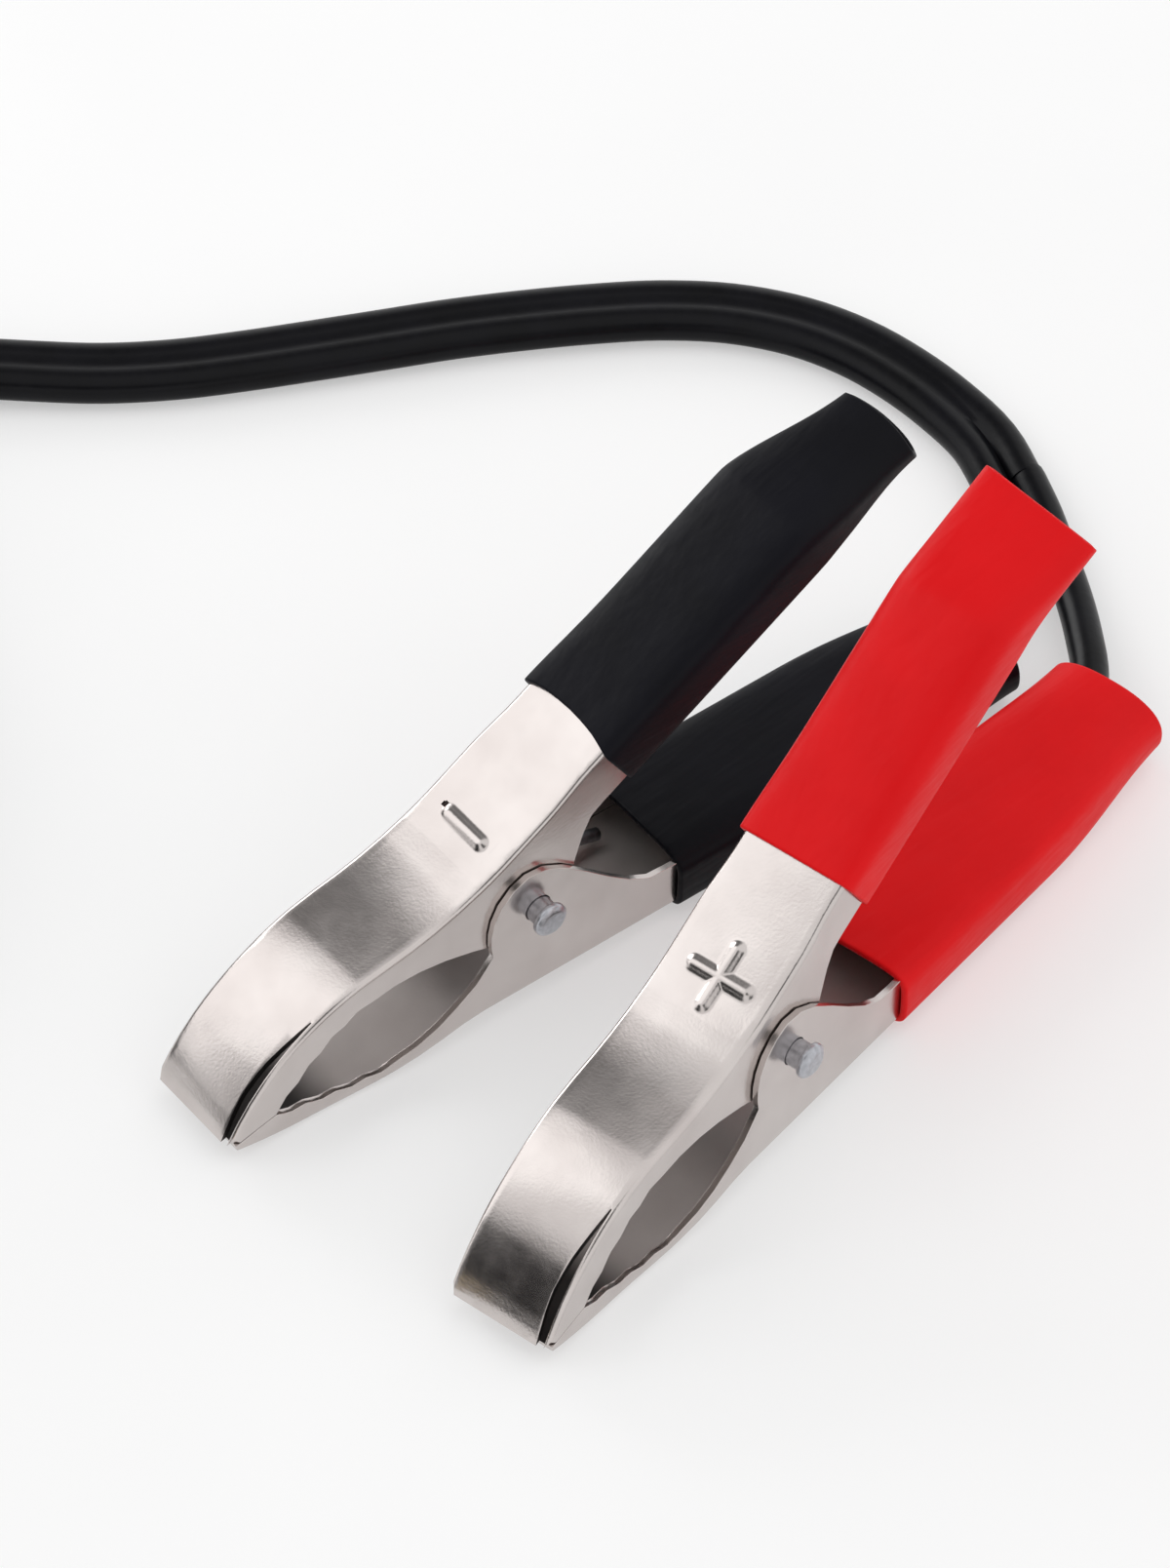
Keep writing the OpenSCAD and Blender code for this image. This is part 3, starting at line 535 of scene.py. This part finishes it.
def dull_inside(jaw, pole, up):
    """The inner faces of a jaw's channel are duller, and darkened deep in the nose by painted shade, as is
    the near slit's wall. The channel opens away from its back, which faces up or down.
    """
    web_half, nose_l, slit_l = jaw_w / 2 - 0.65, 4, 9.6

    def inner(n, p):
        web = abs(p.x) < web_half and (n.z * up < -0.2 or n.y > 0.5 and p.y < nose_l)
        return web or n.x * p.x < 0 and abs(n.x) > 0.5

    # the near slit's wall takes the inside finish, so that the painted shade darkens the slit
    def slit_wall(n, p):
        return up > 0 and p.y < slit_l and n.x > 0.5 and 3 < p.x < 4.3

    paint_faces(jaw, pole, dull_nickel_with_painted_shade[pole], lambda n, p: inner(n, p) or slit_wall(n, p))


def joined(first, *others):
    take(first)
    for other in others:
        other.select_set(True)
    bpy.ops.object.join()
    return first


for pole in POLES:
    for half, body in (("upper", f"{pole}_upper"), ("lower", "lead")):
        jaw = cad_copy(f"{pole}_{half}_jaw", f"{pole}_{half}_stamping")
        if half == "upper":
            curled_lip(jaw, pole)
            crowned_back(jaw, pole)
        soften_edges(jaw, 0.12, 50)
        if half == "upper":
            jaw = joined(jaw, pressed_sign(pole))
        finish_piece(jaw, f"{pole}_{half}_stamping", nickel, body=body, node=f"{pole}_{half}_jaw", smooth=48)
        dull_inside(jaw, pole, 1 if half == "upper" else -1)
        wide_faces_first(jaw)
    rivet = cad_copy(f"{pole}_rivet", f"{pole}_pivot_rivet")
    soften_edges(rivet, 0.14, 35, 3)
    finish_piece(rivet, f"{pole}_pivot_rivet", rivet_steel, body="lead", node=f"{pole}_rivet", smooth=35)


# ---------------------------------------------------------------- soft sleeves
# The sleeves are drawn along z, with their width along x and their back towards y
lay_down = Matrix(((-1, 0, 0, 0), (0, 0, 1, 0), (0, 1, 0, 0), (0, 0, 0, 1)))
sleeve_h = handle_depth + 2 * sleeve_out
sleeve_mid = -handle_depth / 2
flat_h, flat_drop, flat_skew = 2.8, 2.8, 0.14
flat_w = {"positive": 11.4, "negative": 7.6}
oval_h, oval_draw = 6.3, 1.9


def soft_bend(t, k=0.16):
    """From 0 to 1 over t, starting level and soon straight."""
    return 0 if t <= 0 else (t - k * (1 - exp(-t / k))) / (1 - k)


def rounded_point(a, w, h, square, square_below=None):
    """A point at the angle a of an outline between an ellipse, square = 2, and a box, square = 8."""
    c, s = cos(a), sin(a)
    if s < 0 and square_below:
        square = square_below
    return (copysign(abs(c) ** (2 / square), c) * w / 2, copysign(abs(s) ** (2 / square), s) * h / 2)


def upper_section(pole, s, a):
    """The skin of an upper sleeve: boxy over the steel, kinked down and flattened behind it."""
    end = upper_sleeve_s + upper_sleeve_l
    t = min(1, max(0, (s - upper_handle_l - 0.3) / (end - upper_handle_l - 0.3)))
    boxy, eased, soft = 5.5, 3.5, 2.7
    flat = 1 - (1 - t) ** 1.7
    tight = mix(boxy, eased, ease((s - upper_sleeve_s) / 8))
    x, y = rounded_point(a, mix(jaw_w + 2 * sleeve_out, flat_w[pole], ease(t)), mix(sleeve_h, flat_h, flat),
                         mix(tight, soft, t), mix(boxy, soft, t))
    side = x / (flat_w[pole] / 2)
    if pole == "positive":
        # cut askew, its middle pulled in a little
        s += t * t * flat_skew * x
        y -= 0.25 * t * (1 - side * side)
    else:
        # rolled over to the near side, and pinched into a fold at the far corner
        y *= mix(1, mix(1.35, 0.5, max(0, min(1, (side + 1) / 2))), t)
        roll = radians(17) * ease(t)
        x, y = x * cos(roll) - y * sin(roll), y * cos(roll) + x * sin(roll)
        s += t * t * 0.6 * (1 - side * side)
        # the front edge is scooped out over the back
        s += 0.9 * max(0, 1 - (s - upper_sleeve_s) / 6) * max(0, sin(a)) * (1 - (x / 5.4) ** 2)
    return Vector((x, sleeve_mid - flat_drop * soft_bend(t) + y, s))


def lower_section(pole, s, a):
    """The skin of a lower sleeve: boxy over the steel, then drawn into an oval mouth for the cord."""
    end = lower_sleeve_s + lower_sleeve_l
    t = min(1, max(0, (s - lower_handle_l - 0.3) / (end - lower_handle_l - 0.3)))
    x, y = rounded_point(a, ear_w + 2 * sleeve_out - oval_draw * ease(t), mix(sleeve_h, oval_h, ease(t)),
                         mix(5, 2.4, ease(t)), mix(4.6, 2.4, ease(t)))
    return Vector((x, mix(sleeve_mid, sleeve_out - oval_h / 2, ease(t)) + y, s))


def soft_sleeve(pole, half, section, start, long, steel_end, material):
    """A tube cut into rings, each drawn out to the sleeve's section, with a wall on its inside."""
    end = start + long
    places = [start, start + 0.15, start + 1] + [mix(start + 3, steel_end, k / 5) for k in range(6)]
    places += [mix(steel_end + 0.6, end - 0.9, k / 8) for k in range(9)] + [end - 0.15, end]
    nothing_selected()
    bpy.ops.mesh.primitive_cylinder_add(vertices=40, radius=1, depth=long, end_fill_type="NOTHING",
                                        location=(0, 0, (start + end) / 2))
    sleeve = bpy.context.object
    bpy.ops.object.transform_apply(location=True, rotation=False, scale=False)
    edit()
    slices(Matrix(), [(0, 0, s) for s in places[1:-1]], (0, 0, 1))
    done()
    for v in sleeve.data.vertices:
        v.co = section(pole, v.co.z, atan2(v.co.y, v.co.x))
    wall = sleeve.modifiers.new("wall", "SOLIDIFY")
    wall.thickness, wall.offset = sleeve_wall, -1
    smooth = sleeve.modifiers.new("soft", "SUBSURF")
    smooth.levels = smooth.render_levels = 1
    apply_all(sleeve)
    place, body = (upper_place, f"{pole}_upper") if half == "upper" else (lower_place, "lead")
    finish_piece(sleeve, f"{pole}_{half}_grip", material, place(pole) @ lay_down, body,
                 f"{pole}_{half}_sleeve", 60)


for pole, pvc, slot in (("positive", red_pvc, "red_sleeve"), ("negative", black_pvc, "black_sleeve")):
    soft_sleeve(pole, "upper", upper_section, upper_sleeve_s, upper_sleeve_l, upper_handle_l, pvc)
    soft_sleeve(pole, "lower", lower_section, lower_sleeve_s, lower_sleeve_l, lower_handle_l, pvc)


# ---------------------------------------------------------------- cords
def smooth_route(points, step):
    """Points close together on one smooth curve through the given ones."""
    points = [Vector(p) for p in points]
    full = [2 * points[0] - points[1]] + points + [2 * points[-1] - points[-2]]
    out = []
    for a, b, c, d in zip(full, full[1:], full[2:], full[3:]):
        n = max(1, round((c - b).length / step))
        for i in range(n):
            t = i / n
            k1, k2 = (c - a) / 2, (d - b) / 2
            k1, k2 = k1.normalized() * (c - b).length, k2.normalized() * (c - b).length
            out.append((2 * t**3 - 3 * t**2 + 1) * b + (t**3 - 2 * t**2 + t) * k1
                       + (-2 * t**3 + 3 * t**2) * c + (t**3 - t**2) * k2)
    return out + [points[-1]]


def swept_tube(name, path, section, turns=None):
    """A closed tube: the points of section(i) lie level across the path and upwards, turned as given."""
    mesh = bmesh.new()
    rings = []
    for i, p in enumerate(path):
        t = (path[min(i + 1, len(path) - 1)] - path[max(i - 1, 0)]).normalized()
        side = t.cross(Vector((0, 0, 1))).normalized()
        up = side.cross(t)
        a = radians(turns[i] if turns else 0)
        s, u = side * cos(a) + up * sin(a), up * cos(a) - side * sin(a)
        rings.append([mesh.verts.new(p + x * s + y * u) for x, y in section(i)])
    n = len(rings[0])
    for a, b in zip(rings, rings[1:]):
        for k in range(n):
            mesh.faces.new((a[k], a[(k + 1) % n], b[(k + 1) % n], b[k]))
    mesh.faces.new(list(reversed(rings[0])))
    mesh.faces.new(rings[-1])
    bmesh.ops.recalc_face_normals(mesh, faces=mesh.faces)
    data = bpy.data.meshes.new(name)
    mesh.to_mesh(data)
    mesh.free()
    tube = bpy.data.objects.new(name, data)
    bpy.context.scene.collection.objects.link(tube)
    return tube


def round_section(d, n=24):
    return [(d / 2 * cos(2 * pi * k / n), d / 2 * sin(2 * pi * k / n)) for k in range(n)]


def twin_section(split, n=36):
    """Two cores under one jacket, grooved along each face; where split is 1 they are two round legs."""
    out = []
    square, groove, groove_w = 2.5, 0.3, 0.85
    r, c = core_d / 2, (core_d - core_lap) / 2
    for k in range(n):
        a = 2 * pi * k / n
        x, y = rounded_point(a, twin_w, core_d, square)
        y *= 1 - groove * exp(-(x / groove_w) ** 2)
        reach = c * abs(cos(a)) + sqrt(r * r - (c * sin(a)) ** 2)
        out.append((mix(x, reach * cos(a), split), mix(y, reach * sin(a), split)))
    return out


leg_routes = {
    "positive": [
        (8.2, 22, 3.3), (7.5, 27.9, 3.2), (6.5, 33.7, 3.1), (4.9, 38.3, 2.9), (2.4, 41.6, 2.6),
        (-0.8, 44.4, 2.2), (-4.2, 47, 1.8), (-8, 49.5, 1.6), (-12.6, 52.4, 1.6), (-16.2, 54.3, 1.6)],
    "negative": [
        (-8.2, 19.7, 3.3), (-7.5, 25.6, 3.2), (-6.8, 31.6, 3.1), (-6.5, 36.6, 2.9), (-7.3, 41, 2.4),
        (-9.8, 45.6, 1.8), (-14.2, 49.5, 1.6), (-17.8, 51.5, 1.6)]}
twin_route = [
    (-17, 52.9, 1.6), (-21.8, 55, 1.6), (-27, 55.8, 1.6), (-32, 55.9, 1.6), (-37, 55.3, 1.6),
    (-42, 53.7, 1.6), (-47, 50.8, 1.6), (-51.4, 46.9, 1.6), (-55.1, 42.6, 1.6), (-58.7, 37.9, 1.6),
    (-62.1, 33.1, 1.6), (-65.3, 28.1, 1.6), (-68.5, 23.1, 1.6), (-71.7, 18.2, 1.6), (-75.1, 13.4, 1.6),
    (-79, 8.9, 1.6), (-83.2, 4.8, 1.8), (-90, -1.6, 2.3), (-98, -8.9, 3), (-107, -17, 3.5),
    (-115.8, -24.8, 3.9)]
tail_route = [
    (-87, -96, 10.5), (-82, -96, 10.2), (-76, -96, 9), (-70, -96, 7.3), (-64, -96, 5.5),
    (-58, -96, 4.3), (-54, -96, 4)]
coil_middle, coil_r, coil_pitch = (-93, -57), 39, 4.6
coil_from, coil_to, coil_climb = 134, 270 + 4 * 360, 80
tie_t, tie_gap, layer_gap = 0.7, 0.2, 0.6
coil_z, layer_z = tie_t + tie_gap + twin_w / 2, twin_w + layer_gap
twin_step, leg_step, coil_steps, tuck = 1.2, 0.8, 180, 0.6


def coil_points(per_turn):
    """The coil's middle line: inwards on the lower layer, a climb, and outwards on the upper one."""
    sweep = coil_to - coil_from
    n = round(sweep * per_turn / 360)
    out = []
    for i in range(n + 1):
        t = sweep * i / n
        a = radians(coil_from + t)
        r = coil_r - coil_pitch * min(t, sweep - t) / 360
        out.append(Vector((coil_middle[0] + r * cos(a), coil_middle[1] + r * sin(a),
                           coil_z + layer_z * ease((t - sweep / 2) / coil_climb + 0.5))))
    return out


def twin_cord():
    """One cord from the split to the strain relief. It turns on edge for the coil and lies flat after it."""
    first = smooth_route(twin_route, twin_step)
    coil = coil_points(coil_steps)
    last = smooth_route(tail_route, twin_step)
    lead_in = 16 * (len(first) - 1) // 20
    first_turns = [90 * ease((i - lead_in) / (len(first) - 1 - lead_in)) for i in range(len(first))]
    last_turns = [90 * (1 - ease(i / (len(last) - 4))) for i in range(len(last))]
    path = first[:-1] + coil + last[1:]
    turns = first_turns[:-1] + [90] * len(coil) + last_turns[1:]
    joins = 10
    sections = [twin_section(1 - ease(i / joins)) for i in range(joins + 1)]
    tube = swept_tube("twin_cord_jacket", path, lambda i: sections[min(i, joins)], turns)
    finish_piece(tube, "twin_cord_jacket", jacket, Matrix.Scale(MM, 4), "lead",
                 ("twin_cord", "cord_coil", "connector_tail"), 50)
    return tube, path


for pole in POLES:
    path = smooth_route(leg_routes[pole], leg_step)
    # its end runs on inside the twin cord, so that no gap opens between the two
    inside = path[-1] + tuck * (path[-1] - path[-2]).normalized()
    leg = swept_tube(f"{pole}_leg_jacket", path + [inside],
                     lambda i: round_section(core_d if i < len(path) else 0.97 * core_d))
    finish_piece(leg, f"{pole}_leg_jacket", jacket, Matrix.Scale(MM, 4), "lead", f"{pole}_leg", 50)
cord, cord_path = twin_cord()


# ---------------------------------------------------------------- springs
def spring_wire(pole):
    """Turns round the pin, with one leg under each handle."""
    wire_r, r, pitch, turns, upper_l, lower_l = 0.55, 3, 1.6, 3, 13, 14
    upper_slope, lower_slope = 28, -32
    first, last = 270 + lower_slope, 90 + upper_slope - turns * 360
    half = pitch * (first - last) / 720

    def turn(a):
        x = mix(-half, half, (first - a) / (first - last))
        return Vector((x, pivot_y + r * cos(radians(a)), pivot_z + r * sin(radians(a))))

    lower_end = turn(first) + lower_l * Vector((0, cos(radians(lower_slope)), sin(radians(lower_slope))))
    upper_end = turn(last) + upper_l * Vector((0, cos(radians(upper_slope)), sin(radians(upper_slope))))
    n = 110
    points = [lower_end.lerp(turn(first), k / 8) for k in range(8)]
    points += [turn(mix(first, last, k / n)) for k in range(n + 1)]
    points += [turn(last).lerp(upper_end, k / 10) for k in range(1, 11)]
    curve = bpy.data.curves.new(f"{pole}_spring_wire", "CURVE")
    curve.dimensions, curve.bevel_depth, curve.bevel_resolution = "3D", wire_r, 4
    curve.use_fill_caps = True
    spline = curve.splines.new("POLY")
    spline.points.add(len(points) - 1)
    for p, q in zip(spline.points, points):
        p.co = (*q, 1)
    wire = bpy.data.objects.new(curve.name, curve)
    bpy.context.scene.collection.objects.link(wire)
    take(wire)
    bpy.ops.object.convert(target="MESH")
    wire = bpy.context.object
    place = clip_place(pole)
    finish_piece(wire, f"{pole}_spring_wire", spring_steel, place, None, f"{pole}_spring", 60)
    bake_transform(wire)


for pole in POLES:
    spring_wire(pole)


# ---------------------------------------------------------------- wire ends
def strands(pole):
    """Seven strands twisted together, running through the ferrule."""
    nothing_selected()
    front, back, strand_r, lay_r = 21.5, 36.8, 0.29, 0.6
    bpy.ops.mesh.primitive_cylinder_add(vertices=12, radius=strand_r, depth=back - front)
    bundle = bpy.context.object
    edit("FACE")
    bpy.ops.mesh.select_all(action="SELECT")
    bpy.ops.mesh.subdivide(number_cuts=1)
    bpy.ops.mesh.select_all(action="SELECT")
    here = Vector((0, 0, 0))
    for k in range(6):
        there = lay_r * Vector((cos(k * pi / 3), sin(k * pi / 3), 0))
        bpy.ops.mesh.duplicate_move(TRANSFORM_OT_translate={"value": tuple(there - here)})
        here = there
    done()
    edit()
    bpy.ops.mesh.select_all(action="SELECT")
    slices(Matrix(), [(0, 0, (back - front) * (k / 20 - 0.5)) for k in range(1, 20)], (0, 0, 1))
    done()
    twist = bundle.modifiers.new("lay", "SIMPLE_DEFORM")
    twist.deform_method, twist.deform_axis, twist.angle = "TWIST", "Z", radians(300)
    apply_all(bundle)
    bundle.data.transform(Matrix.Translation((0, wire_mid, (front + back) / 2)))
    finish_piece(bundle, f"{pole}_strands", copper, lower_place(pole) @ lay_down, "lead",
                 f"{pole}_wire_end", 50)


for pole in POLES:
    strands(pole)
    nodes[f"{pole}_ferrule"].data.materials.clear()
    nodes[f"{pole}_ferrule"].data.materials.append(tinned)


# ---------------------------------------------------------------- connector and tie
for node, name, material, slot, edge in (
        ("strain_relief", "ribbed_strain_relief", moulding, "connector_moulding", 0.2),
        ("connector_body", "connector_moulding", moulding, "connector_moulding", 0.25),
        ("connector_pin", "bare_contact_pin", brass, "contact_metal", 0.1),
        ("connector_socket", "socket_contact_tube", brass, "contact_metal", 0.05),
        ("coil_tie", "coil_tie_band", tape, "tie", 0.15)):
    piece = cad_copy(node, name)
    soften_edges(piece, edge, 40)
    finish_piece(piece, name, material, body="lead", node=node, smooth=40)


# ---------------------------------------------------------------- studio
def studio():
    nothing_selected()
    bpy.ops.mesh.primitive_plane_add(size=6, location=(0, 0, -0.00005))
    floor = bpy.context.object
    floor.name = "studio_floor"
    paper, tree, surface, mm = new_material("white_paper_sweep", Roughness=0.9)
    pulp = add(tree, "ShaderNodeTexNoise", [("Vector", mm, "Vector")], Scale=0.02, Detail=2)
    tone(tree, surface, pulp, "Fac", "f8f8f8", "fcfcfc")
    # part of the sweep shows as plain white, to the eye and in what mirrors it, and the rest keeps the shadow
    white_share = 0.42
    ray, white = add(tree, "ShaderNodeLightPath"), add(tree, "ShaderNodeEmission", Strength=1)
    seen = add(tree, "ShaderNodeMath", [(0, ray, "Is Camera Ray"), (1, ray, "Is Glossy Ray")],
               operation="ADD")
    seen = add(tree, "ShaderNodeMath", [(0, seen, 0), (1, ray, "Is Transmission Ray")], operation="ADD")
    share = add(tree, "ShaderNodeMath", [(0, seen, 0)], operation="MULTIPLY", use_clamp=True)
    share.inputs[1].default_value = white_share
    sweep = add(tree, "ShaderNodeMixShader", [(0, share, 0), (1, surface, "BSDF"), (2, white, "Emission")])
    tree.links.new(sweep.outputs["Shader"], tree.nodes["Material Output"].inputs["Surface"])
    floor.data.materials.append(paper)
    world = bpy.data.worlds.new("white_light_tent")
    bpy.context.scene.world = world
    world.use_nodes = True
    tree = world.node_tree
    place = add(tree, "ShaderNodeTexCoord")
    level = add(tree, "ShaderNodeValue")
    level.outputs["Value"].default_value = 1
    # a tent of white cloth, open in front and where one looks in, with a dimmer panel overhead at the back;
    # each opening has its direction, its level, and the angles where it is full and where it ends
    openings = (((-0.24, -0.93, 0.27), 0.02, 9, 27), ((0.47, -0.47, 0.75), 0.06, 9, 17),
                ((-0.58, 0.28, 0.77), 0.18, 4, 30))
    for towards, dark, inner, outer in openings:
        near = add(tree, "ShaderNodeVectorMath", [(0, place, "Generated")], operation="DOT_PRODUCT")
        near.inputs[1].default_value = Vector(towards).normalized()
        panel = add(tree, "ShaderNodeMapRange", [("Value", near, "Value")], interpolation_type="SMOOTHSTEP",
                    From_Min=cos(radians(outer)), From_Max=cos(radians(inner)), To_Min=1, To_Max=dark)
        level = add(tree, "ShaderNodeMath", [(0, level, 0), (1, panel, "Result")], operation="MULTIPLY")
    tree.links.new(level.outputs[0], tree.nodes["Background"].inputs["Strength"])
    tree.nodes["Background"].inputs["Color"].default_value = (1, 1, 1, 1)

    def softbox(place, power, width, height):
        bpy.ops.object.light_add(type="AREA", location=place)
        lamp = bpy.context.object
        lamp.data.shape = "RECTANGLE"
        lamp.data.energy, lamp.data.size, lamp.data.size_y = power, width, height
        lamp.rotation_euler = (-Vector(place)).to_track_quat("-Z", "Y").to_euler()

    softbox((-0.68, -0.44, 0.58), 1.35, 0.6, 1.25)
    softbox((-0.98, 0.1, 0.36), 2.4, 0.5, 0.5)


studio()
bpy.context.scene.view_settings.view_transform = "Standard"
